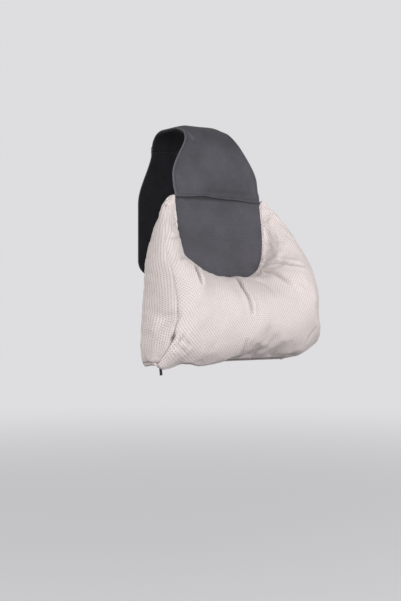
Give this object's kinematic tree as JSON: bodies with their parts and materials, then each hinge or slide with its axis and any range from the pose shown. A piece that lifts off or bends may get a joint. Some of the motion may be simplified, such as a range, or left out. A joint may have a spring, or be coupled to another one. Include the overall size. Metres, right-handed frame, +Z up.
{
  "type": "car neck pillow",
  "caption": "Stuffed U-shaped fabric neck pillow on a leather panel that drapes over a headrest's crown, with a weighted rear flap.",
  "frame": {"origin": "middle of the lining's flat underside on top, where it rests on the headrest's crown", "axes": "+X across the pillow, +Y to the rear flap, +Z up; the pillow hangs at -Y"},
  "size_m": [0.3089, 0.2256, 0.3755],
  "materials": {
    "fabric": "off-white open weave",
    "leather": "satin, fine grain",
    "suede": "matt brushed lining",
    "filling": "plain inner bag",
    "tape": "woven zip tape",
    "coil": "satin",
    "black_metal": "black enamel",
    "steel": "plain bar"
  },
  "bodies": {
    "pillow": {"front_cover": "fabric", "end_panel_left": "fabric", "end_panel_right": "fabric", "back_cover": "fabric", "inner_pillow": "filling", "lower_front_panel": "leather", "top_panel": "leather", "rear_flap": "leather", "weight_pocket": "leather", "panel_lining": "suede", "rear_lining": "suede", "weight_bar_1": "steel", "weight_bar_2": "steel", "weight_bar_3": "steel", "weight_bar_4": "steel", "zip_tape_front": "tape", "zip_tape_rear": "tape", "zip_coil_front": "coil", "zip_coil_rear": "coil", "zip_stop_left": "black_metal", "zip_stop_right": "black_metal"},
    "zip_slider": {"zip_slider": "black_metal"},
    "zip_pull": {"zip_pull": "black_metal"}
  },
  "joints": [
    {"name": "zip_slide", "type": "slide", "parent": "pillow", "child": "zip_slider", "axis": [1, 0, 0], "range_m": [0, 0.217]},
    {"name": "zip_pull_swing", "type": "hinge", "parent": "zip_slider", "child": "zip_pull", "pos_m": [-0.1355, -0.1171, -0.35732], "axis": [0, -0.9877, 0.1564], "range_deg": [-80, 80]}
  ]
}
